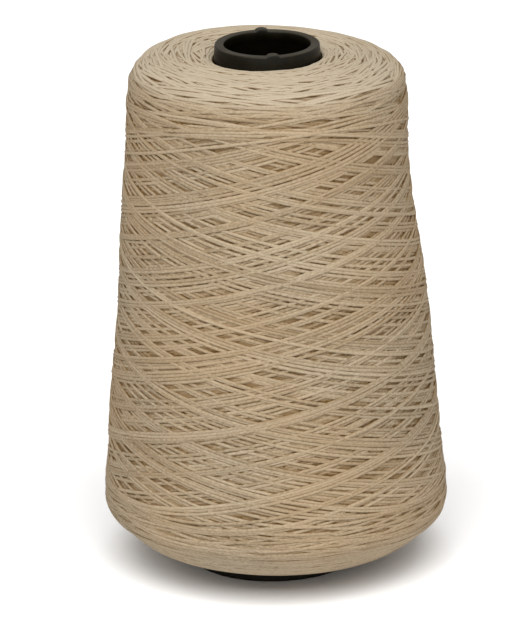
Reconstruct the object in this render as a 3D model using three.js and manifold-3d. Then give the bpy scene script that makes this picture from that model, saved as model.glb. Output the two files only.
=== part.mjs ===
// A cone of binding thread: natural cotton twine cross-wound on a hollow, tapered plastic core.
// Millimetres, +Z up. The origin is on the core's axis, on the plane that its foot stands on.

import * as THREE from 'three';
import { mergeVertices } from 'three/addons/utils/BufferGeometryUtils.js';
import Module from 'manifold-3d';

const wasm = await Module();
wasm.setup();

// Driving dimensions of the core
const CORE_LENGTH = 170;
const NOSE_RADIUS = 16.5;
const CORE_TAPER = THREE.MathUtils.degToRad(3.5);
const CORE_WALL = 2.1;
const NOSE_LIP = { innerRadius: 13.6, depth: 2.6, undercut: 0.8 };
const NOSE_CHAMFER = 0.3;
const FOOT_EDGE = 0.7;
const CORE_FACETS = 72;

// Two moulding stubs left on the nose face, opposite each other
const STUB = { halfLength: 1.8, halfWidth: 1.15, height: 0.75, angle: THREE.MathUtils.degToRad(96.5) };

// The winding: its gap to the core, the rows of its outline, and the relief of its main turns
const CORE_GAP = 0.47;
const WINDING_FACETS = 60;
const OUTLINE_STEPS = 96;

// Rows from the foot, up the side and over the shoulder, to the collar. shift is how far a row leans to +X, and dip
// is how much lower it lies on its +X side than in the middle.
const WINDING_ROWS = [
  { z: 3.8, radius: null, shift: 0.0, dip: 1.2 },
  { z: 5.9, radius: 35.3, shift: 0.4, dip: 1.2 },
  { z: 7.8, radius: 41.6, shift: 0.5, dip: 0.7 },
  { z: 10.8, radius: 46.6, shift: 0.9, dip: 0.4 },
  { z: 14.4, radius: 50.8, shift: 1.3, dip: 0.4 },
  { z: 18.7, radius: 54.2, shift: 1.1, dip: 0.3 },
  { z: 25.0, radius: 54.5, shift: 1.0, dip: 0.2 },
  { z: 34.0, radius: 53.6, shift: 0.9, dip: 0.1 },
  { z: 46.0, radius: 52.7, shift: 0.7, dip: 0.1 },
  { z: 62.0, radius: 51.4, shift: 0.7, dip: 0.0 },
  { z: 78.0, radius: 49.9, shift: 0.9, dip: 0.0 },
  { z: 94.0, radius: 48.5, shift: 0.6, dip: 0.0 },
  { z: 108.0, radius: 47.1, shift: -0.1, dip: 0.0 },
  { z: 122.0, radius: 45.7, shift: -0.6, dip: 0.0 },
  { z: 134.0, radius: 44.6, shift: -0.6, dip: 0.0 },
  { z: 146.0, radius: 44.3, shift: -0.3, dip: 0.0 },
  { z: 156.5, radius: 43.6, shift: -0.2, dip: 0.0 },
  { z: 161.2, radius: 42.6, shift: -0.2, dip: 0.1 },
  { z: 164.0, radius: 39.5, shift: -0.5, dip: 0.5 },
  { z: 165.6, radius: 35.9, shift: -0.7, dip: 0.9 },
  { z: 166.8, radius: 31.5, shift: -0.6, dip: 0.8 },
  { z: 167.2, radius: 26.0, shift: -0.4, dip: 0.5 },
  { z: 166.8, radius: 21.0, shift: -0.2, dip: 0.0 },
  { z: 166.0, radius: null, shift: 0.0, dip: -0.4 },
];

// Ribbons of turns cross at the angle that this lead gives. The troughs between them lie this deep.
const RIBBONS = 7;
const LEAD = 80;
const TROUGH_DEPTH = 0.9;
const RIBBON_WANDER = 0.12;
const CALM_END = 14;

function coreRadius(z) {
  return NOSE_RADIUS + (CORE_LENGTH - z) * Math.tan(CORE_TAPER);
}

// A closed mesh as a solid for joining, and back again
function toSolid(geometry) {
  const bare = geometry.clone();
  bare.deleteAttribute('normal');
  bare.deleteAttribute('uv');
  const merged = mergeVertices(bare, 1e-4);
  const vertProperties = new Float32Array(merged.attributes.position.array);
  const triVerts = new Uint32Array(merged.index.array);
  return new wasm.Manifold(new wasm.Mesh({ numProp: 3, vertProperties, triVerts }));
}

function toGeometry(solid) {
  const { vertProperties, triVerts } = solid.getMesh();
  const geometry = new THREE.BufferGeometry();
  geometry.setAttribute('position', new THREE.BufferAttribute(vertProperties, 3));
  geometry.setIndex(new THREE.BufferAttribute(triVerts, 1));
  geometry.computeVertexNormals();
  return geometry;
}

// A closed profile of (radius, height) points turned about +Z
function turned(profile, facets) {
  const geometry = new THREE.LatheGeometry(profile, facets);
  geometry.rotateX(Math.PI / 2);
  return geometry;
}

function coreTube() {
  const underLip = CORE_LENGTH - NOSE_LIP.depth;
  const boreAt = (z) => coreRadius(z) - CORE_WALL;
  const profile = new THREE.Path();
  profile.moveTo(boreAt(0), 0);
  profile.lineTo(coreRadius(0) - FOOT_EDGE, 0);
  profile.absarc(coreRadius(0) - FOOT_EDGE, FOOT_EDGE, FOOT_EDGE, -Math.PI / 2, 0, false);
  profile.lineTo(coreRadius(CORE_LENGTH - NOSE_CHAMFER), CORE_LENGTH - NOSE_CHAMFER);
  profile.lineTo(NOSE_RADIUS - NOSE_CHAMFER, CORE_LENGTH);
  profile.lineTo(NOSE_LIP.innerRadius, CORE_LENGTH);
  profile.lineTo(NOSE_LIP.innerRadius, underLip);
  profile.lineTo(boreAt(underLip), underLip - NOSE_LIP.undercut);
  profile.closePath();
  return turned(profile.getPoints(3), CORE_FACETS);
}

function mouldingStub(angle) {
  const middle = (NOSE_LIP.innerRadius + NOSE_RADIUS) / 2;
  const stub = new THREE.SphereGeometry(1, 16, 8);
  stub.scale(STUB.halfWidth, STUB.halfLength, STUB.height);
  stub.rotateZ(angle);
  stub.translate(middle * Math.cos(angle), middle * Math.sin(angle), CORE_LENGTH);
  return stub;
}

function core() {
  return [STUB.angle, STUB.angle + Math.PI].reduce(
    (solid, angle) => solid.add(toSolid(mouldingStub(angle))),
    toSolid(coreTube()),
  );
}

// The outline as one smooth curve: x is the radius and y the height. Its lean has the same points, with the shift
// as x and the dip as y, and both are read at the same parameters.
function windingOutline() {
  const outline = WINDING_ROWS.map(({ z, radius }) => new THREE.Vector3(radius ?? coreRadius(z) + CORE_GAP, z, 0));
  const lean = WINDING_ROWS.map(({ shift, dip }) => new THREE.Vector3(shift, dip, 0));
  return {
    outline: new THREE.CatmullRomCurve3(outline, false, 'centripetal'),
    lean: new THREE.CatmullRomCurve3(lean, false, 'catmullrom', 0.5),
  };
}

// How far the surface lies under the ridges of its crossing ribbons, at an angle and a place along the outline
function troughDepth(angle, along, length) {
  const wander = RIBBON_WANDER * (Math.sin(2 * angle + along / 23) + Math.sin(angle - along / 14));
  const ridge = (turns) => 0.5 + 0.5 * Math.cos(2 * Math.PI * turns);
  const share = angle / (2 * Math.PI);
  const rising = ridge(RIBBONS * (share + along / LEAD) + wander);
  const falling = ridge(RIBBONS * (share - along / LEAD) - wander);
  const toEnd = Math.min(along, length - along);
  return TROUGH_DEPTH * (1 - Math.max(rising, falling)) * THREE.MathUtils.smoothstep(toEnd, 0, CALM_END);
}

function winding() {
  const { outline, lean } = windingOutline();
  const length = outline.getLength();
  const stations = [];
  for (let step = 0; step <= OUTLINE_STEPS; step += 1) {
    const at = outline.getUtoTmapping(step / OUTLINE_STEPS);
    stations.push({ on: outline.getPoint(at), lean: lean.getPoint(at) });
  }
  const profile = stations.map(({ on }) => new THREE.Vector2(on.x, on.y));
  profile.push(profile[0].clone());
  const geometry = new THREE.LatheGeometry(profile, WINDING_FACETS);
  const position = geometry.attributes.position;
  const normal = geometry.attributes.normal;
  const point = new THREE.Vector3();
  const outward = new THREE.Vector3();
  for (let i = 0; i < position.count; i += 1) {
    const row = (i % profile.length) % (OUTLINE_STEPS + 1);
    const facet = Math.floor(i / profile.length) % WINDING_FACETS;
    const angle = (2 * Math.PI * facet) / WINDING_FACETS;
    const depth = troughDepth(angle, (length * row) / OUTLINE_STEPS, length);
    const { x: shift, y: dip } = stations[row].lean;
    outward.fromBufferAttribute(normal, i);
    point.fromBufferAttribute(position, i);
    const toX = point.x / profile[row].x;
    point.addScaledVector(outward, -depth);
    position.setXYZ(i, point.x + shift, point.y - dip * toX, point.z);
  }
  geometry.rotateX(Math.PI / 2);
  return toSolid(geometry);
}

const spool = new THREE.Group();

const coreMesh = new THREE.Mesh(
  toGeometry(core()),
  new THREE.MeshStandardMaterial({ color: 0x201f1b, roughness: 0.5, metalness: 0 }),
);
coreMesh.name = 'core';
spool.add(coreMesh);

const threadMesh = new THREE.Mesh(
  toGeometry(winding()),
  new THREE.MeshStandardMaterial({ color: 0xc3ae8c, roughness: 0.95, metalness: 0 }),
);
threadMesh.name = 'wound_thread';
spool.add(threadMesh);

export default spool;
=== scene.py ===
"""A cone of binding thread: natural cotton twine cross-wound on a hollow, tapered plastic core.

The winding is laid stroke after stroke on a height map of the package's surface, and the stretches of
thread that end up in sight become tubes. Sizes are in millimetres, and meshes are written in metres.
"""

import math

import bpy
import numpy as np
from mathutils import Matrix, Vector


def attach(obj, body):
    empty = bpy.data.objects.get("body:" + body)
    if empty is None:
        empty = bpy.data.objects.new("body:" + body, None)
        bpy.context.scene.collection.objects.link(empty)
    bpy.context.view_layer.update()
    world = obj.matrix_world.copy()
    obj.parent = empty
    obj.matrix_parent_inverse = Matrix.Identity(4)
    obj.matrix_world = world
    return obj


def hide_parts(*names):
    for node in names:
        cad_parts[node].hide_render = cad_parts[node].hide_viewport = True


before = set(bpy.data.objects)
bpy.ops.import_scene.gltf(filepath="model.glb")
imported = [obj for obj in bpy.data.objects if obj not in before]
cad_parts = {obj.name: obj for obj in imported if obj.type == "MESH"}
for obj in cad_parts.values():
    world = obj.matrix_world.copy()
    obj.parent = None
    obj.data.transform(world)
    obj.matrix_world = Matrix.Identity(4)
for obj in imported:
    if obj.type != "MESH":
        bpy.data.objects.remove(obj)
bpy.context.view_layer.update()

MM = 0.001
TURN = 2 * math.pi
SEED = 5
rng = np.random.default_rng(SEED)

# The camera looks along +Y and down. Its image is 630 pixels high on a 36 mm sensor. CAMERA_FAR is in metres.
CAMERA_DISTANCE = 1900
CAMERA_ELEVATION = math.radians(18.55)
CAMERA_ROLL = math.radians(-0.75)
CAMERA_LENS = 342.2
CAMERA_AIM = (-1.45, 0, 80.4)
CAMERA_FAR = 20

# The core, with the roundings of its edges and the heights at which its two walls have rings of points
CORE_LENGTH = 170
NOSE_RADIUS = 16.5
CORE_TAPER = math.radians(3.5)
CORE_WALL = 2.1
CORE_GAP = 0.47
LIP_RADIUS = 13.6
LIP_DEPTH = 2.6
LIP_UNDERCUT = 0.8
EDGE_ROUND = 0.45
EDGE_STEPS = 6
FOOT_ROUND = 0.7
FOOT_STEPS = 8
FOOT_INSET = 0.5
FACE_RINGS = 8
WALL_HEIGHTS = (20, 150, 164, 167)
BORE_HEIGHTS = (120, 60, 2)
CORE_SIDES = 256

# Two moulding stubs on the nose face, opposite each other. They start STUB_START under its rounded edges.
STUB_AZIMUTHS = (math.radians(96.5), math.radians(276.5))
STUB_HALF_LENGTH = 1.9
STUB_HEIGHT = 0.75
STUB_START = 0.05

# The thread, flattened a little by the winding. A strand rests on what lies within CONTACT_WIDTH of its
# middle line and sinks into it, and SOFTNESS is the share by which it then gives way towards the mean
# level. It slides sideways into a groove near it, at a cost, and PULL draws it down where the package
# curves. THICKNESS scales its section, which drifts along it.
HALF_WIDTH = 0.6
HALF_HEIGHT = 0.45
CONTACT_WIDTH = 0.33
SINK = 0.2
SOFTNESS = 0.65
SLIDE = 0.5
SLIDE_COST = 0.35
PULL = 3.2
THICKNESS = 1.03
THICKNESS_DRIFT = 0.05
THICKNESS_SPACING = 9

# The tight turns press the package. Swells wider than PRESS_REACH cells keep the share SWELL of their
# height, and at the ends LEAST_SWELL of that. Heights over them shrink to PRESSED_TOP. Hollows under them
# shrink to PRESSED_HOLLOW, those shallower than SHALLOW the most, and none is deeper than DEEPEST.
PRESS_REACH = 6
SWELL = 0.25
LEAST_SWELL = 0.2
PRESSED_TOP = 0.42
PRESSED_HOLLOW = 1.1
SHALLOW = 0.9
DEEPEST = 0.8

# The turns at the two ends lie smoother: how far in they are smoothest, how far in they are as the rest,
# and the share of the relief that is left at the end
CALM_FOOT = (22.0, 46.0, 0.35)
CALM_NOSE = (6.0, 40.0, 0.95)

# The winding's outline from the foot to the collar: height, radius (None at the core), lean to +X, and how
# much lower the row lies on its +X side than in the middle
WINDING_ROWS = [
    (3.8, None, 0.0, 1.2),
    (5.9, 35.3, 0.4, 1.2),
    (7.8, 41.6, 0.5, 0.7),
    (10.8, 46.6, 0.9, 0.4),
    (14.4, 50.8, 1.3, 0.4),
    (18.7, 54.2, 1.1, 0.3),
    (25.0, 54.5, 1.0, 0.2),
    (34.0, 53.6, 0.9, 0.1),
    (46.0, 52.7, 0.7, 0.1),
    (62.0, 51.4, 0.7, 0.0),
    (78.0, 49.9, 0.9, 0.0),
    (94.0, 48.5, 0.6, 0.0),
    (108.0, 47.1, -0.1, 0.0),
    (122.0, 45.7, -0.6, 0.0),
    (134.0, 44.6, -0.6, 0.0),
    (146.0, 44.3, -0.3, 0.0),
    (156.5, 43.6, -0.2, 0.0),
    (161.2, 42.6, -0.2, 0.1),
    (164.0, 39.5, -0.5, 0.5),
    (165.6, 35.9, -0.7, 0.9),
    (166.8, 31.5, -0.6, 0.8),
    (167.2, 26.0, -0.4, 0.5),
    (166.8, 21.0, -0.2, 0.0),
    (166.0, None, 0.0, -0.4),
]

# The mean level of the strands lies this far under the outline, which leaves room for those that stand proud
STRANDS_PROUD = 0.1

# How the machine lays the thread. It winds outward, so its turns move from the core to the shoulders.
# Each run of double strokes goes so many times around in so many strokes, and then comes back beside itself.
# The third number is the run's length in double strokes.
RUNS = [
    (18, 5, 40), (25, 7, 35), (29, 8, 40), (18, 5, 40), (25, 7, 35), (29, 8, 40), (18, 5, 30), (123, 34, 80),
    (29, 8, 24), (68, 19, 38), (25, 7, 28), (123, 34, 34), (18, 5, 15), (47, 13, 26), (25, 7, 14), (11, 3, 9),
]

# Neighbouring strands lie STRAND_PITCH apart. The pitch drifts over PITCH_SPACING double strokes, each
# stroke is a little off, and now and then one slips by an angle in the range SLIP.
STRAND_PITCH = math.radians(4.7)
PITCH_DRIFT = 0.18
PITCH_SPACING = 10
CREEP_SCATTER = 0.016
HALFWAY_SCATTER = 0.01
SLIP_CHANCE = 0.06
SLIP = (math.radians(4), math.radians(20))

# The places of the turns, measured from the ends of the outline. BUILD_UP is the power by which they move
# out to the shoulders. Their drift is small at first and grows, as END_GROWTH says, and SOFT_TURN is how
# far around a turn takes.
FOOT_SHOULDER = 37.0
NOSE_SHOULDER = 34.0
END_MARGIN = 0.45
BUILD_UP = 1.25
END_DRIFT = 2.6
END_SCATTER = 0.9
END_SPACING = 40
END_GROWTH = (0.2, 4)
SOFT_TURN = math.radians(52)
SOFT_TURN_DRIFT = math.radians(12)

# Close laps beside the core at both ends, laid after so many strokes
LAPS_AFTER = 60
LAPS = 4
LAP_STEP = 0.85

# The height map: columns around and rows along the outline, about a third of a millimetre a cell. A strand
# reaches REACH rows to either side. Its height is found at every fourth column, and SLIDE_LENGTH of those
# smooth its slide. LEAST_BEND is the least curvature that draws it down.
COLUMNS = 1024
ROW_STEP = 0.3
REACH = 3
RELAX_STRIDE = 4
RELAX_ROUNDS = 12
SMOOTH_ROUNDS = 2
SLIDE_LENGTH = 41
LEAST_BEND = 1 / 80

# The map's mean level is taken again after every LEVEL_EVERY strokes, over so many rows at the ends and
# farther in. The outermost rows stay bare, as no strand reaches them.
LEVEL_EVERY = 6
LEVEL_WIDTHS = (7, 25)
BARE_ROWS = 3

# The tubes: every eighth column makes a ring, about 2.5 mm apart. A crown no deeper than BURIED under the
# skin is in sight, and a ring is kept if the share LEAST_SHOWN of it is.
RING_STRIDE = 8
TUBE_SIDES = 6
BURIED = 0.06
LEAST_SHOWN = 0.1
MOST_RINGS = 16000

# The body under the strands has a point every BODY_STEP cells. It lies BODY_DEPTH under the lowest skin
# within BODY_REACH cells, but no farther than BODY_DEEPEST under the level. Its last BODY_END is tucked in
# by BODY_TUCK.
BODY_STEP = 6
BODY_REACH = 2
BODY_DEPTH = 0.2
BODY_DEEPEST = 1.3
BODY_END = 1.5
BODY_TUCK = 0.7

# The thread's look, with linear colours: the plies' grooves cross it every PLY_STEP and waver
PLIES = 3
PLY_STEP = 1.5
PLY_WOBBLE = 2.5
WOBBLE_SCALE = 0.35
PLY_DEPTH = 0.12
THREAD_BUMP = 0.6
PLY_BUMP = 0.7
FIBRE_BUMP = 0.5
FIBRE_SCALE = (0.9, 3.0, 1.0)

# Its lightness adds up a slow tone along the thread, the fibres, patches on the package and the plies, whose
# grooves are painted darker as painted shade
TONE_SPACING = 60
PATCH_SCALE = 28.0
TONE_SHARE = 0.16
FIBRE_SHARE = 1.6
PATCH_SHARE = 0.45
PLY_GROOVE_SHADE = 0.1
LIGHT_RANGE = (0.73, 1.45)
THREAD_WARM = (0.212, 0.159, 0.099, 1)
THREAD_PALE = (0.352, 0.286, 0.2, 1)

# Tan stains on the package, and flecks of seed on the thread
STAIN_SCALE = 23.0
STAIN_RANGE = (0.4, 0.64)
TANNED = 0.34
THREAD_TAN = (0.32, 0.215, 0.115, 1)
FLECK_SCALE = (0.9, 1.2, 1.0)
FLECK_RANGE = (0.80, 0.84)
THREAD_FLECK = (0.07, 0.045, 0.025, 1)

# Painted light: the parts of the package that face up are painted paler, and those that face down a little
# paler
PAINTED_LIGHT_RANGE = (0.1, 0.9)
PAINTED_TOP_LIGHT = 0.7
PAINTED_UNDER_LIGHT = 0.28
THREAD_PAINTED_LIGHT = (0.378, 0.324, 0.242, 1)

# Painted shade: the flanks of a strand and those that lie deep are painted darker brown, where shade falls
# between the strands
FLANK_SHADE_RANGE = (0.85, 0.1)
FLANK_SHADE = 0.75
DEEP_SHADE = (0.35, 0.7, 0.0, 0.6)
MOST_SHADE = 0.8
THREAD_PAINTED_SHADE = (0.15, 0.076, 0.016, 1)

# Down on the thread scatters light as the whole package would, more on the side than on the nose end
DOWN_RANGE = (0.2, 0.8)
DOWN = 0.8
DOWN_NOSE = 0.3
THREAD_ROUGHNESS = 0.9
COTTON_SPECULAR = 0.05

# The deeper thread that shows between the strands, painted dark brown as painted shade
SHADE_GRAIN = 900.0
SHADE_RANGE = (0.3, 0.7)
SHADE_DARK = (0.066, 0.034, 0.009, 1)
SHADE_PALE = (0.165, 0.103, 0.042, 1)
SHADE_ROUGHNESS = 0.95
SHADE_BUMP = 0.8
SHADE_DEPTH = 0.2

# The core's plastic. Dust makes it paler, and the faces that look up are painted paler as painted light from
# above.
CORE_GRAIN = 900.0
SCUFF_SCALE = (60.0, 60.0, 900.0)
SCUFF_BUMP = 0.6
DUST_SCALE = 220.0
DUST_WEAR = (0.45, 0.75, 0.0, 0.2)
TOP_PAINTED_LIGHT = (0.3, 1.0, 0.0, 0.75)
CORE_DARK = (0.0042, 0.0033, 0.001, 1)
CORE_DUSTY_AND_LIT = (0.0275, 0.0215, 0.0105, 1)
CORE_ROUGHNESS = (0.3, 0.7, 0.34, 0.52)
CORE_SPECULAR = 0.17
CORE_BUMP = 0.35
CORE_DEPTH = 0.06

# The floor and the lamps are in metres, and the power is in watts
FLOOR_SIZE = 8
FLOOR_COLOUR = (0.9, 0.9, 0.9, 1)
FLOOR_ROUGHNESS = 0.9
FLOOR_SPECULAR = 0.1
WORLD_COLOUR = (1, 1, 1, 1)
WORLD_LIGHT = 0.45
LAMPS = [
    {"name": "softbox", "size": (4.4, 3.4), "power": 250, "place": (-0.1, -2.0, 3.4), "aim": (0, 0, 0.08)},
    {"name": "fill", "size": (3.4, 1.2), "power": 14, "place": (0, -3.0, 0.7), "aim": (0, 0, 0.03)},
]


def core_radius(z):
    return NOSE_RADIUS + (CORE_LENGTH - z) * math.tan(CORE_TAPER)


def place_camera():
    data = bpy.data.cameras.new("camera")
    data.lens = CAMERA_LENS
    data.clip_end = CAMERA_FAR
    camera = bpy.data.objects.new("camera", data)
    bpy.context.scene.collection.objects.link(camera)
    away = Vector((0, -math.cos(CAMERA_ELEVATION), math.sin(CAMERA_ELEVATION)))
    place = (Vector(CAMERA_AIM) + CAMERA_DISTANCE * away) * MM
    tilt = Matrix.Rotation(math.pi / 2 - CAMERA_ELEVATION, 4, "X")
    camera.matrix_world = Matrix.Translation(place) @ tilt @ Matrix.Rotation(CAMERA_ROLL, 4, "Z")
    bpy.context.scene.camera = camera


def slow_noise(count, spacing):
    """A smooth random sequence of about unit size, with a new value every spacing steps."""
    knots = rng.standard_normal(int(count / spacing) + 3)
    return np.interp(np.arange(count) / spacing, np.arange(len(knots)), knots)


def noise_along(along, spacing):
    """A smooth random value at each place along the thread, with a new one every spacing millimetres."""
    knots = np.arange(0, along.max() + spacing, spacing)
    return np.interp(along, knots, rng.standard_normal(len(knots)))


def section(off):
    """How high the thread's skin stands over its middle line, off to the side of it."""
    return HALF_HEIGHT * np.sqrt(np.maximum(1 - (off / HALF_WIDTH) ** 2, 0))


class Outline:
    """The winding's profile, one entry every ROW_STEP along it."""

    def __init__(self):
        rows = np.array([
            (core_radius(z) + CORE_GAP if radius is None else radius, z, lean, dip)
            for z, radius, lean, dip in WINDING_ROWS
        ])
        chord = np.concatenate([[0], np.cumsum(np.hypot(*np.diff(rows[:, :2], axis=0).T))])
        tangents = np.gradient(rows, chord, axis=0)
        place = np.arange(0, chord[-1], ROW_STEP)
        i = np.clip(np.searchsorted(chord, place, side="right") - 1, 0, len(rows) - 2)
        span = (chord[i + 1] - chord[i])[:, None]
        t = (place - chord[i])[:, None] / span
        smooth = (
            (1 + 2 * t) * (1 - t) ** 2 * rows[i]
            + t * (1 - t) ** 2 * span * tangents[i]
            + t * t * (3 - 2 * t) * rows[i + 1]
            + t * t * (t - 1) * span * tangents[i + 1]
        )
        self.length = chord[-1]
        self.radius, self.height, self.lean, self.dip = smooth.T
        rise, climb = np.gradient(self.radius), np.gradient(self.height)
        size = np.hypot(rise, climb)
        self.out_radius, self.out_height = climb / size, -rise / size
        self.hoop_bend = np.maximum(self.out_radius / self.radius, LEAST_BEND)
        facing = np.unwrap(np.arctan2(self.out_height, self.out_radius))
        self.end_bend = np.abs(np.gradient(facing, ROW_STEP))

    def at(self, values, place):
        """The values, one for each entry of the profile, read at places along it."""
        return np.interp(place / ROW_STEP, np.arange(len(values)), values)


class Package:
    """The height of the package's surface over its outline, which grows as strands are laid on it."""

    def __init__(self, outline):
        self.outline = outline
        self.top = np.zeros((len(outline.radius), COLUMNS))
        self.level = np.zeros(len(outline.radius))

    def cells(self, column, place, lean_cos):
        """The cells beside each point of a strand, and how far they lie from its middle line."""
        row = np.rint(place / ROW_STEP).astype(int)[:, None] + np.arange(-REACH, REACH + 1)
        off = (row * ROW_STEP - place[:, None]) * lean_cos[:, None]
        inside = (row >= 0) & (row < len(self.top))
        return np.clip(row, 0, len(self.top) - 1), column[:, None] % COLUMNS, off, inside

    def contact(self, column, place, lean_cos):
        """The height at which a strand's middle line would come to lie on what is there."""
        row, col, off, inside = self.cells(column, place, lean_cos)
        near = inside & (np.abs(off) <= CONTACT_WIDTH)
        under = self.top[row, col] + section(off) - SINK
        return np.where(near, under, 0).max(axis=1)

    def settle(self, column, place, lean_cos):
        """The strand's place after it has slid sideways into the groove nearest to it."""
        few = slice(None, None, RELAX_STRIDE)
        slides = np.arange(-SLIDE, SLIDE + ROW_STEP / 2, ROW_STEP)
        kernel = np.hanning(SLIDE_LENGTH + 2)[1:-1]
        kernel /= kernel.sum()
        cost = []
        for slide in slides:
            height = self.contact(column[few], place[few] + slide, lean_cos[few])
            cost.append(np.convolve(np.pad(height, SLIDE_LENGTH // 2, mode="edge"), kernel, mode="valid"))
        cost = np.array(cost) + SLIDE_COST * slides[:, None] ** 2
        best = slides[cost.argmin(axis=0)]
        best = np.convolve(np.pad(best, SLIDE_LENGTH // 2, mode="edge"), kernel, mode="valid")
        return place + np.interp(np.arange(len(place)), np.arange(len(place))[few], best)

    def lay(self, column, place):
        """Lays a strand, taut, on what is there. Returns its places and its middle line's heights."""
        outline = self.outline
        radius = outline.at(outline.radius, place)
        slope = np.gradient(place) / (radius * TURN / COLUMNS)
        lean_cos = 1 / np.hypot(1, slope)
        place = self.settle(column, place, lean_cos)
        place = np.clip(place, END_MARGIN, outline.length - END_MARGIN)
        hoop, end = outline.at(outline.hoop_bend, place), outline.at(outline.end_bend, place)
        bend = hoop * lean_cos**2 + end * (1 - lean_cos**2)
        height = self.relax(self.contact(column, place, lean_cos), radius / lean_cos, bend)
        level = outline.at(self.level, place) + HALF_HEIGHT - SINK
        height -= SOFTNESS * (height - level)
        row, col, off, inside = self.cells(column, place, lean_cos)
        under = inside & (np.abs(off) <= HALF_WIDTH)
        crown = np.where(under, height[:, None] + section(off), 0)
        self.top[row, col] = np.maximum(self.top[row, col], crown)
        return place, height

    def relax(self, contact, run, bend):
        """A taut strand spans the hollows, and its pull round the package draws it down into them."""
        count = -(-len(contact) // RELAX_STRIDE)
        padded = np.pad(contact, (0, count * RELAX_STRIDE - len(contact)), mode="edge")
        floor = padded.reshape(count, RELAX_STRIDE).max(axis=1)
        step = run[::RELAX_STRIDE] * RELAX_STRIDE * TURN / COLUMNS
        sag = 0.5 * PULL * step**2 * bend[::RELAX_STRIDE]
        height = floor.copy()
        for _ in range(RELAX_ROUNDS):
            height[1:-1] = np.maximum(floor[1:-1], 0.5 * (height[:-2] + height[2:]) - sag[1:-1])
        for _ in range(SMOOTH_ROUNDS):
            height[1:-1] = 0.25 * height[:-2] + 0.5 * height[1:-1] + 0.25 * height[2:]
        middle = (np.arange(count) + 0.5) * RELAX_STRIDE
        return np.interp(np.arange(len(contact)) + 0.5, middle, height)


def turning_points(outline):
    """Azimuth, place along the outline and softness of each turn, first at the foot and then at the nose."""
    advance = []
    for around, strokes, length in RUNS:
        pitch = STRAND_PITCH * (1 + PITCH_DRIFT * slow_noise(length, PITCH_SPACING))
        advance.append(around / strokes * TURN + pitch / strokes)
    advance = np.concatenate(advance)
    count = len(advance)
    advance += CREEP_SCATTER * rng.standard_normal(count)
    advance += (rng.random(count) < SLIP_CHANCE) * rng.uniform(*SLIP, count)
    progress = np.linspace(0, 1, count) ** BUILD_UP
    foot_azimuth = np.cumsum(advance)
    nose_azimuth = foot_azimuth + advance / 2 + HALFWAY_SCATTER * rng.standard_normal(count)
    turns = []
    ends = ((foot_azimuth, 0, FOOT_SHOULDER), (nose_azimuth, outline.length, -NOSE_SHOULDER))
    for azimuth, edge, shoulder in ends:
        way = math.copysign(1, shoulder)
        drift = END_DRIFT * np.abs(slow_noise(count, END_SPACING))
        drift = drift + END_SCATTER * np.abs(rng.standard_normal(count))
        grown = np.minimum(1, END_GROWTH[1] * progress + END_GROWTH[0])
        place = edge + progress * shoulder + way * (END_MARGIN + drift * grown)
        soft = SOFT_TURN + SOFT_TURN_DRIFT * slow_noise(count, END_SPACING)
        turns.append(np.stack([azimuth, place, np.abs(soft)], axis=1))
    return np.stack(turns, axis=1).reshape(-1, 3)


def stroke(start, end):
    """The thread between two turns: map columns, not wrapped, and places along the outline."""
    (azimuth_0, place_0, soft_0), (azimuth_1, place_1, soft_1) = start, end
    step = TURN / COLUMNS
    column = np.arange(math.ceil(azimuth_0 / step), math.ceil(azimuth_1 / step))
    since = column * step - azimuth_0
    until = azimuth_1 - column * step
    speed = (place_1 - place_0) / (azimuth_1 - azimuth_0 - (soft_0 + soft_1) / 2)
    place = place_0 + speed * (since - soft_0 / 2)
    place = np.where(since < soft_0, place_0 + speed * since**2 / (2 * soft_0), place)
    place = np.where(until < soft_1, place_1 - speed * until**2 / (2 * soft_1), place)
    return column, place


def wind(outline):
    """Winds the package. Returns it, with the thread's columns, places and heights from end to end."""
    package = Package(outline)
    turns = turning_points(outline)
    thread = []
    for number, (start, end) in enumerate(zip(turns[:-1], turns[1:])):
        if number % LEVEL_EVERY == 0:
            package.level = smooth_level(package.top)
        if number == LAPS_AFTER:
            laps = np.arange(COLUMNS * LAPS)
            for edge, way in ((END_MARGIN, 1), (outline.length - END_MARGIN, -1)):
                place, height = package.lay(laps, edge + way * LAP_STEP * laps / COLUMNS)
                thread.append(np.stack([laps, place, height]))
        column, place = stroke(start, end)
        place, height = package.lay(column, place)
        thread.append(np.stack([column, place, height]))
    return package, np.concatenate(thread, axis=1)


def in_sight(package, column, place, height):
    """The skin that all the strands make, and how much of the crown at each point is part of it."""
    outline = package.outline
    radius = outline.at(outline.radius, place)
    slope = np.gradient(place) / (radius * TURN / COLUMNS)
    row, col, off, inside = package.cells(column, place, 1 / np.hypot(1, slope))
    row, col = np.broadcast_arrays(row, col)
    inside &= np.abs(off) < HALF_WIDTH
    crown = np.where(inside, height[:, None] + section(off), 0)
    order = np.argsort(crown, axis=None)
    skin = np.zeros_like(package.top)
    skin[row.ravel()[order], col.ravel()[order]] = crown.ravel()[order]
    shown = inside & (crown > skin[row, col] - BURIED)
    return skin, shown.sum(axis=1) / np.maximum(inside.sum(axis=1), 1)


def calmness(outline, place):
    """The share of its relief that the winding keeps at places along the outline."""
    share = np.ones_like(place)
    for way, (start, end, least) in ((place, CALM_FOOT), (outline.length - place, CALM_NOSE)):
        rise = np.clip((way - start) / (end - start), 0, 1)
        share *= least + (1 - least) * rise * rise * (3 - 2 * rise)
    return share


def blurred(surface, reach):
    """The surface's mean over a soft round patch that reaches so many cells, and on around the package."""
    kernel = np.hanning(4 * reach + 3)[1:-1]
    kernel /= kernel.sum()
    edge = len(kernel) // 2
    surface = np.pad(surface, ((edge, edge), (0, 0)), mode="edge")
    surface = np.apply_along_axis(np.convolve, 0, surface, kernel, mode="valid")
    surface = np.pad(surface, ((0, 0), (edge, edge)), mode="wrap")
    return np.apply_along_axis(np.convolve, 1, surface, kernel, mode="valid")


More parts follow.
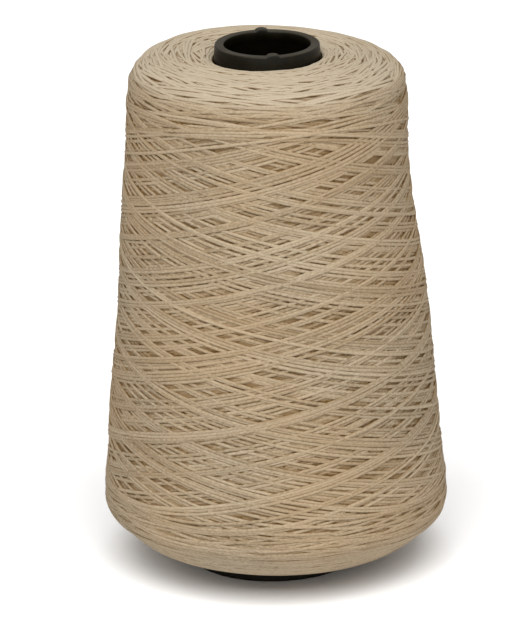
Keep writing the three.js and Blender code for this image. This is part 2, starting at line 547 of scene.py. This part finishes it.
def press(package, column, place, height):
    """The thread's heights after its turns have pressed the package together, and how deep it lies in it."""
    outline = package.outline
    level = outline.at(smooth_level(package.top), place)
    top = package.top.copy()
    top[:BARE_ROWS] = top[BARE_ROWS]
    top[-BARE_ROWS:] = top[-BARE_ROWS - 1]
    near = blurred(top, PRESS_REACH)
    row = np.clip(place / ROW_STEP, 0, len(near) - 1.001)
    part = row % 1
    row = row.astype(int)
    column = column % COLUMNS
    near = (1 - part) * near[row, column] + part * near[row + 1, column]
    above = height - near
    depth = np.maximum(-above, 0)
    depth = PRESSED_HOLLOW * depth**2 / (depth + SHALLOW)
    hollow = DEEPEST * np.expm1(-depth / DEEPEST)
    above = calmness(outline, place) * np.where(above > 0, PRESSED_TOP * above, hollow)
    to_end = np.minimum(place, outline.length - place)
    swell = SWELL * np.clip(to_end / CALM_FOOT[0], LEAST_SWELL, 1)
    return level + swell * (near - level) + above, -above


def smooth_level(surface):
    """The mean height of a surface along the outline, smoothed less towards its two ends."""
    level = surface.mean(axis=1)
    level[:BARE_ROWS] = level[BARE_ROWS]
    level[-BARE_ROWS:] = level[-BARE_ROWS - 1]
    smooth = []
    for width in LEVEL_WIDTHS:
        kernel = np.hanning(width + 2)[1:-1]
        padded = np.pad(level, width // 2, mode="edge")
        smooth.append(np.convolve(padded, kernel / kernel.sum(), mode="valid"))
    row = np.arange(len(level))
    inward = np.clip(np.minimum(row, len(level) - 1 - row) / LEVEL_WIDTHS[1], 0, 1)
    return (1 - inward) * smooth[0] + inward * smooth[1]


def on_package(outline, level, azimuth, place, height):
    """Points and outward directions, in millimetres, for places on the package."""
    out_radius = outline.at(outline.out_radius, place)
    out_height = outline.at(outline.out_height, place)
    above = height - outline.at(level, place) - STRANDS_PROUD
    radius = outline.at(outline.radius, place) + out_radius * above
    sine, cosine = np.sin(azimuth), np.cos(azimuth)
    point = np.stack([
        radius * cosine + outline.at(outline.lean, place),
        radius * sine,
        outline.at(outline.height, place) + out_height * above - outline.at(outline.dip, place) * cosine,
    ], axis=1)
    outward = np.stack([out_radius * cosine, out_radius * sine, out_height], axis=1)
    return point, outward


def write_mesh(name, vertices, faces, uvs=None, marks=None):
    """A smooth-shaded mesh object from vertices in millimetres and a list of equal-sided face arrays."""
    mesh = bpy.data.meshes.new(name)
    mesh.vertices.add(len(vertices))
    mesh.vertices.foreach_set("co", (vertices * MM).astype(np.float32).ravel())
    loops = np.concatenate([f.ravel() for f in faces])
    sizes = np.concatenate([np.full(len(f), f.shape[1]) for f in faces])
    mesh.loops.add(len(loops))
    mesh.loops.foreach_set("vertex_index", loops.astype(np.int32))
    mesh.polygons.add(len(sizes))
    mesh.polygons.foreach_set("loop_start", (np.cumsum(sizes) - sizes).astype(np.int32))
    if uvs is not None:
        layer = mesh.uv_layers.new(name="along")
        corners = np.concatenate([u.reshape(-1, 2) for u in uvs])
        layer.data.foreach_set("uv", corners.astype(np.float32).ravel())
    for key, values in (marks or {}).items():
        kind, field = ("FLOAT", "value") if values.ndim == 1 else ("FLOAT_VECTOR", "vector")
        mark = mesh.attributes.new(key, kind, "POINT")
        mark.data.foreach_set(field, values.astype(np.float32).ravel())
    mesh.update(calc_edges=True)
    mesh.validate()
    mesh.shade_smooth()
    piece = bpy.data.objects.new(name, mesh)
    bpy.context.scene.collection.objects.link(piece)
    return piece


def tubes(name, point, outward, along, marks, run):
    """Closed tubes through the points. run numbers the tube that each point belongs to."""
    joined = run[1:] == run[:-1]
    first = np.concatenate([[True], ~joined])
    last = np.concatenate([~joined, [True]])
    before = np.where(first[:, None], point, np.roll(point, 1, axis=0))
    after = np.where(last[:, None], point, np.roll(point, -1, axis=0))
    ahead = after - before
    ahead /= np.linalg.norm(ahead, axis=1)[:, None]
    side = np.cross(ahead, outward)
    side /= np.linalg.norm(side, axis=1)[:, None]
    up = np.cross(side, ahead)
    angles = TURN * np.arange(TUBE_SIDES) / TUBE_SIDES
    spoke = (
        HALF_HEIGHT * np.cos(angles)[None, :, None] * up[:, None]
        + HALF_WIDTH * np.sin(angles)[None, :, None] * side[:, None]
    )
    thickness = THICKNESS + THICKNESS_DRIFT * noise_along(along, THICKNESS_SPACING)
    vertices = (point[:, None] + thickness[:, None, None] * spoke).reshape(-1, 3)
    ring = np.arange(len(point)) * TUBE_SIDES
    k = np.arange(TUBE_SIDES)
    k_next = (k + 1) % TUBE_SIDES
    here = ring[:-1][joined][:, None]
    there = ring[1:][joined][:, None]
    quads = np.stack([here + k, there + k, there + k_next, here + k_next], axis=-1).reshape(-1, 4)
    starts = ring[first][:, None] + k
    ends = ring[last][:, None] + k[::-1]
    share = k / TUBE_SIDES
    share_next = (k + 1) / TUBE_SIDES
    a0 = np.broadcast_to(along[:-1][joined][:, None], (joined.sum(), TUBE_SIDES))
    a1 = np.broadcast_to(along[1:][joined][:, None], (joined.sum(), TUBE_SIDES))
    s0 = np.broadcast_to(share, a0.shape)
    s1 = np.broadcast_to(share_next, a0.shape)
    quad_uvs = np.stack([
        np.stack([a0, s0], -1), np.stack([a1, s0], -1), np.stack([a1, s1], -1), np.stack([a0, s1], -1),
    ], axis=2)
    start_uvs = np.stack(np.broadcast_arrays(along[first][:, None], share), -1)
    end_uvs = np.stack(np.broadcast_arrays(along[last][:, None], share[::-1]), -1)
    marks = {key: np.repeat(values, TUBE_SIDES, axis=0) for key, values in marks.items()}
    return write_mesh(name, vertices, [quads, starts, ends], [quad_uvs, start_uvs, end_uvs], marks)


def build_strands(outline, level, seen, column, place, height, depth):
    """Tubes for the stretches of thread in sight, in pieces of up to MOST_RINGS rings."""
    ring = np.arange(0, len(column) - RING_STRIDE, RING_STRIDE)
    share = seen[: len(ring) * RING_STRIDE].reshape(len(ring), RING_STRIDE).mean(axis=1)
    shown = share > LEAST_SHOWN
    shown = shown | np.roll(shown, 1) | np.roll(shown, -1)
    azimuth = column * (TURN / COLUMNS)
    point, outward = on_package(outline, level, azimuth[ring], place[ring], height[ring])
    along = np.concatenate([[0], np.cumsum(np.linalg.norm(np.diff(point, axis=0), axis=1))])
    tone = noise_along(along, TONE_SPACING)
    depth = depth[ring]
    run = np.cumsum(np.concatenate([[0], (shown[1:] & ~shown[:-1])]))
    pieces = []
    index = np.flatnonzero(shown)
    for number, start in enumerate(range(0, len(index), MOST_RINGS)):
        part = index[start:start + MOST_RINGS]
        runs = run[part]
        lone = np.bincount(runs)[runs] < 2
        part, runs = part[~lone], runs[~lone]
        marks = {"tone": tone[part], "depth": depth[part], "outward": outward[part]}
        name = f"thread_turns_{number + 1}"
        pieces.append(tubes(name, point[part], outward[part], along[part], marks, runs))
    return pieces


def build_body(outline, skin, level):
    """An opaque body just under the strands, so that no gap between them shows the hollow inside."""
    low = np.maximum(skin, (level - BODY_DEEPEST)[:, None])
    low[:BARE_ROWS] = low[BARE_ROWS]
    low[-BARE_ROWS:] = low[-BARE_ROWS - 1]
    for axis in (0, 1):
        edge = [(0, 0), (0, 0)]
        edge[axis] = (BODY_REACH, BODY_REACH)
        padded = np.pad(low, edge, mode="wrap" if axis else "edge")
        cells = np.arange(low.shape[axis])
        low = np.min([np.take(padded, cells + i, axis) for i in range(2 * BODY_REACH + 1)], axis=0)
    rows = np.linspace(0, len(low) - 1, len(low) // BODY_STEP).round().astype(int)
    cols = np.arange(0, COLUMNS, BODY_STEP)
    to_end = np.minimum(rows, len(low) - 1 - rows) * ROW_STEP
    sunk = BODY_DEPTH + BODY_TUCK * np.clip(1 - to_end / BODY_END, 0, 1)
    height = low[np.ix_(rows, cols)] - sunk[:, None]
    azimuth = np.tile(cols * TURN / COLUMNS, len(rows))
    point, _ = on_package(outline, level, azimuth, np.repeat(rows * ROW_STEP, len(cols)), height.ravel())
    azimuth = cols * TURN / COLUMNS
    inside = []
    for z in (outline.height[-1] - BODY_END, outline.height[0] + BODY_END):
        radius = core_radius(z) + CORE_GAP / 2
        rim = [radius * np.cos(azimuth), radius * np.sin(azimuth), np.full(len(cols), z)]
        inside.append(np.stack(rim, axis=1))
    ring = np.arange(len(rows) + 2)[:, None] * len(cols)
    side = np.arange(len(cols))[None]
    next_ring, next_side = np.roll(ring, -1), np.roll(side, -1)
    faces = np.stack([ring + side, ring + next_side, next_ring + next_side, next_ring + side], axis=-1)
    return write_mesh("thread_under_turns", np.concatenate([point] + inside), [faces.reshape(-1, 4)])


def arc(centre_r, centre_z, radius, start, end, steps=EDGE_STEPS):
    """Points of a circular arc in the profile plane, angles in degrees from +radius towards +Z."""
    for angle in np.radians(np.linspace(start, end, steps)):
        yield centre_r + radius * math.cos(angle), centre_z + radius * math.sin(angle)


def core_profile():
    """The core's closed profile, as (radius, height) points from the foot up the wall and down the bore."""
    taper = math.degrees(CORE_TAPER)
    foot = core_radius(0) - FOOT_ROUND
    nose = NOSE_RADIUS - EDGE_ROUND
    lip = LIP_RADIUS + EDGE_ROUND
    under_lip = CORE_LENGTH - LIP_DEPTH
    under = under_lip - LIP_UNDERCUT
    top = CORE_LENGTH - EDGE_ROUND
    profile = [(core_radius(0) - CORE_WALL, 0), (foot - FOOT_INSET, 0)]
    profile += arc(foot, FOOT_ROUND, FOOT_ROUND, -90, taper, FOOT_STEPS)
    profile += [(core_radius(z), z) for z in WALL_HEIGHTS]
    profile += arc(nose, top, EDGE_ROUND, taper, 90)
    profile += [(r, CORE_LENGTH) for r in np.linspace(nose, lip, FACE_RINGS + 2)[1:-1]]
    profile += arc(lip, top, EDGE_ROUND, 90, 180)
    profile += [(LIP_RADIUS, under_lip), (core_radius(under) - CORE_WALL, under)]
    profile += [(core_radius(z) - CORE_WALL, z) for z in BORE_HEIGHTS]
    return profile


def build_core():
    """The core turned about +Z, with its stubs raised out of the nose face."""
    radius, height = np.array(core_profile()).T
    azimuth = TURN * np.arange(CORE_SIDES) / CORE_SIDES
    a, r = np.meshgrid(azimuth, radius)
    _, z = np.meshgrid(azimuth, height)
    start = CORE_LENGTH - EDGE_ROUND - STUB_START
    for middle in STUB_AZIMUTHS:
        turn = (a - middle + math.pi) % TURN - math.pi
        across = np.clip(np.abs(turn) * r / STUB_HALF_LENGTH, 0, 1)
        on_face = np.clip((z - start) / EDGE_ROUND, 0, 1)
        z = z + STUB_HEIGHT * on_face * np.sqrt(1 - across**2) * (across < 1)
    vertices = np.stack([r * np.cos(a), r * np.sin(a), z], -1).reshape(-1, 3)
    rows = np.arange(len(radius))[:, None] * CORE_SIDES
    rows_next = np.roll(rows, -1, axis=0)
    k = np.arange(CORE_SIDES)[None]
    k_next = (k + 1) % CORE_SIDES
    faces = np.stack(np.broadcast_arrays(rows + k, rows + k_next, rows_next + k_next, rows_next + k), -1)
    return write_mesh("core_cone", vertices, [faces.reshape(-1, 4)])


class Graph:
    """Short calls for adding nodes to a material."""

    def __init__(self, name):
        self.material = bpy.data.materials.new(name)
        self.material.use_nodes = True
        self.nodes = self.material.node_tree.nodes
        self.links = self.material.node_tree.links
        self.shader = self.nodes["Principled BSDF"]

    def node(self, kind, settings=None, **inputs):
        """Adds a node. Inputs are named as its sockets are, and take a value or another node's output."""
        node = self.nodes.new("ShaderNode" + kind)
        for key, value in (settings or {}).items():
            setattr(node, key, value)
        for key, value in inputs.items():
            self.put(node.inputs[key.replace("_", " ")], value)
        return node

    def put(self, socket, value):
        """Links another node's output to the socket, or sets the socket's own value."""
        if isinstance(value, bpy.types.NodeSocket):
            self.links.new(value, socket)
        else:
            socket.default_value = value

    def math(self, operation, first, second=0.0):
        node = self.nodes.new("ShaderNodeMath")
        node.operation = operation
        for socket, value in zip(node.inputs, (first, second)):
            self.put(socket, value)
        return node.outputs[0]

    def mix(self, share, first, second):
        """Mixes two colours. Their sockets are taken by number, as their names stand for others too."""
        node = self.nodes.new("ShaderNodeMix")
        node.data_type = "RGBA"
        self.put(node.inputs["Factor"], share)
        self.put(node.inputs[6], first)
        self.put(node.inputs[7], second)
        return node.outputs[2]

    def noise(self, vector, scale, detail=2.0, roughness=0.5):
        node = self.node("TexNoise", Vector=vector, Scale=scale, Detail=detail, Roughness=roughness)
        return node.outputs["Fac"]

    def vector_math(self, operation, *values):
        node = self.nodes.new("ShaderNodeVectorMath")
        node.operation = operation
        for socket, value in zip(node.inputs, values):
            self.put(socket, value)
        return node.outputs[0]

    def attribute(self, name, output="Fac"):
        return self.node("Attribute", {"attribute_name": name}).outputs[output]

    def height_of(self, vector):
        return self.node("SeparateXYZ", Vector=vector).outputs["Z"]

    def scaled(self, vector, scale):
        return self.node("Mapping", Vector=vector, Scale=scale).outputs["Vector"]

    def surface(self, colour, roughness, specular):
        """Sets the shader's colour and gloss."""
        self.put(self.shader.inputs["Base Color"], colour)
        self.put(self.shader.inputs["Roughness"], roughness)
        self.put(self.shader.inputs["Specular IOR Level"], specular)

    def spread(self, value, low, high, to_low=0.0, to_high=1.0):
        """Stretches low to high onto to_low to to_high."""
        node = self.nodes.new("ShaderNodeMapRange")
        for socket, number in zip(node.inputs, (value, low, high, to_low, to_high)):
            self.put(socket, number)
        return node.outputs[0]


def thread_material():
    """Plied cotton, in millimetres along the thread and shares of a turn around it."""
    graph = Graph("cotton_thread")
    place = graph.node("UVMap", {"uv_map": "along"}).outputs["UV"]
    parts = graph.node("SeparateXYZ", Vector=place).outputs
    along, around = parts["X"], parts["Y"]
    package_place = graph.node("TexCoord").outputs["Object"]
    outward = graph.attribute("outward", "Vector")
    upward = graph.height_of(outward)

    wobble = graph.node("TexNoise", {"noise_dimensions": "1D"}, W=along, Scale=WOBBLE_SCALE, Detail=2.0)
    wobble = graph.math("MULTIPLY", wobble.outputs["Fac"], PLY_WOBBLE)
    ply = graph.math("ADD", graph.math("DIVIDE", along, PLY_STEP), graph.math("MULTIPLY", around, PLIES))
    ply = graph.math("MULTIPLY", graph.math("ADD", ply, wobble), math.pi)
    ply = graph.math("ABSOLUTE", graph.math("SINE", ply))
    fibre = graph.noise(graph.scaled(place, FIBRE_SCALE), 1.0)

    light = graph.math("MULTIPLY", graph.attribute("tone"), TONE_SHARE)
    patch = graph.noise(package_place, PATCH_SCALE)
    # The plies' term paints their grooves darker, a painted shade; the tone, fibre and patch terms are the
    # thread's own colour.
    for term, share in ((fibre, FIBRE_SHARE), (patch, PATCH_SHARE), (ply, PLY_GROOVE_SHADE)):
        light = graph.math("ADD", light, graph.math("MULTIPLY", term, share))
    colour = graph.mix(graph.spread(light, *LIGHT_RANGE), THREAD_WARM, THREAD_PALE)
    stain = graph.noise(package_place, STAIN_SCALE, detail=3.0)
    colour = graph.mix(graph.spread(stain, *STAIN_RANGE, 0.0, TANNED), colour, THREAD_TAN)
    # Painted light: faces that look up are painted paler, and faces that look down a little paler.
    low, high = PAINTED_LIGHT_RANGE
    painted_top = graph.spread(upward, low, high, 0.0, PAINTED_TOP_LIGHT)
    painted_under = graph.spread(upward, -low, -high, 0.0, PAINTED_UNDER_LIGHT)
    colour = graph.mix(graph.math("MAXIMUM", painted_top, painted_under), colour, THREAD_PAINTED_LIGHT)
    # Painted shade: the strand's flanks and the strands that lie deep are painted darker brown.
    crown = graph.math("COSINE", graph.math("MULTIPLY", around, TURN))
    flank_shade = graph.spread(crown, *FLANK_SHADE_RANGE, 0.0, FLANK_SHADE)
    painted_shade = graph.math("ADD", flank_shade, graph.spread(graph.attribute("depth"), *DEEP_SHADE))
    colour = graph.mix(graph.math("MINIMUM", painted_shade, MOST_SHADE), colour, THREAD_PAINTED_SHADE)
    fleck = graph.noise(graph.scaled(place, FLECK_SCALE), 1.0, detail=1.0)
    colour = graph.mix(graph.spread(fleck, *FLECK_RANGE), colour, THREAD_FLECK)
    graph.surface(colour, THREAD_ROUGHNESS, COTTON_SPECULAR)

    grooves = graph.math("MULTIPLY", ply, PLY_BUMP)
    height = graph.math("ADD", grooves, graph.math("MULTIPLY", fibre, FIBRE_BUMP))
    bump = graph.node("Bump", Height=height, Strength=THREAD_BUMP, Distance=PLY_DEPTH * MM)
    to_world = {"vector_type": "NORMAL", "convert_from": "OBJECT", "convert_to": "WORLD"}
    outward = graph.node("VectorTransform", to_world, Vector=outward).outputs["Vector"]
    down = graph.spread(upward, *DOWN_RANGE, DOWN, DOWN_NOSE)
    downy = graph.vector_math("MULTIPLY_ADD", outward, down, bump.outputs["Normal"])
    graph.put(graph.shader.inputs["Normal"], graph.vector_math("NORMALIZE", downy))
    return graph.material


def shade_material():
    """The deeper thread that shows between the strands, painted dark brown as painted shade."""
    graph = Graph("cotton_thread_shade")
    place = graph.node("TexCoord").outputs["Object"]
    fibre = graph.noise(place, SHADE_GRAIN, detail=3.0, roughness=0.6)
    # Painted shade: the deeper thread is painted dark brown, the shade between the strands.
    colour = graph.mix(graph.spread(fibre, *SHADE_RANGE), SHADE_DARK, SHADE_PALE)
    graph.surface(colour, SHADE_ROUGHNESS, COTTON_SPECULAR)
    bump = graph.node("Bump", Height=fibre, Strength=SHADE_BUMP, Distance=SHADE_DEPTH * MM)
    graph.put(graph.shader.inputs["Normal"], bump.outputs["Normal"])
    return graph.material


def core_material():
    """Black plastic with scuffs around it, duller where dust lies, and painted paler where it faces up as
    painted light from above.
    """
    graph = Graph("core_plastic")
    place = graph.node("TexCoord").outputs["Object"]
    grain = graph.noise(place, CORE_GRAIN, detail=3.0)
    scuff = graph.noise(graph.scaled(place, SCUFF_SCALE), 1.0, detail=3.0, roughness=0.6)
    dust = graph.noise(place, DUST_SCALE, detail=4.0, roughness=0.6)
    upward = graph.height_of(graph.node("NewGeometry").outputs["Normal"])
    # Painted light: the faces that look up are painted paler; dust makes random patches paler.
    dust_and_top_light = graph.math("ADD", graph.spread(dust, *DUST_WEAR), graph.spread(upward, *TOP_PAINTED_LIGHT))
    colour = graph.mix(dust_and_top_light, CORE_DARK, CORE_DUSTY_AND_LIT)
    graph.surface(colour, graph.spread(scuff, *CORE_ROUGHNESS), CORE_SPECULAR)
    height = graph.math("ADD", grain, graph.math("MULTIPLY", scuff, SCUFF_BUMP))
    bump = graph.node("Bump", Height=height, Strength=CORE_BUMP, Distance=CORE_DEPTH * MM)
    graph.put(graph.shader.inputs["Normal"], bump.outputs["Normal"])
    return graph.material


def floor_and_lights():
    scene = bpy.context.scene
    bpy.ops.mesh.primitive_plane_add(size=FLOOR_SIZE)
    floor = bpy.context.object
    floor.name = "floor"
    graph = Graph("floor")
    graph.surface(FLOOR_COLOUR, FLOOR_ROUGHNESS, FLOOR_SPECULAR)
    floor.data.materials.append(graph.material)
    world = bpy.data.worlds.new("studio")
    world.use_nodes = True
    background = world.node_tree.nodes["Background"]
    background.inputs["Color"].default_value = WORLD_COLOUR
    background.inputs["Strength"].default_value = WORLD_LIGHT
    scene.world = world
    for lamp in LAMPS:
        data = bpy.data.lights.new(lamp["name"], "AREA")
        data.shape = "RECTANGLE"
        data.size, data.size_y = lamp["size"]
        data.energy = lamp["power"]
        light = bpy.data.objects.new(lamp["name"], data)
        light.location = lamp["place"]
        light.rotation_euler = (Vector(lamp["aim"]) - light.location).to_track_quat("-Z", "Y").to_euler()
        scene.collection.objects.link(light)
    scene.view_settings.view_transform = "Standard"


place_camera()
outline = Outline()
package, thread = wind(outline)
column, place, height = thread[0].astype(int), thread[1], thread[2]
height, depth = press(package, column, place, height)
skin, seen = in_sight(package, column, place, height)
level = smooth_level(skin)
cotton = thread_material()
strands = build_strands(outline, level, seen, column, place, height, depth)
body = build_body(outline, skin, level)
body.data.materials.append(shade_material())
for piece in strands:
    piece.data.materials.append(cotton)
for piece in strands + [body]:
    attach(piece, "root")
    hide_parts("wound_thread")
core = build_core()
core.data.materials.append(core_material())
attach(core, "root")
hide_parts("core")
floor_and_lights()
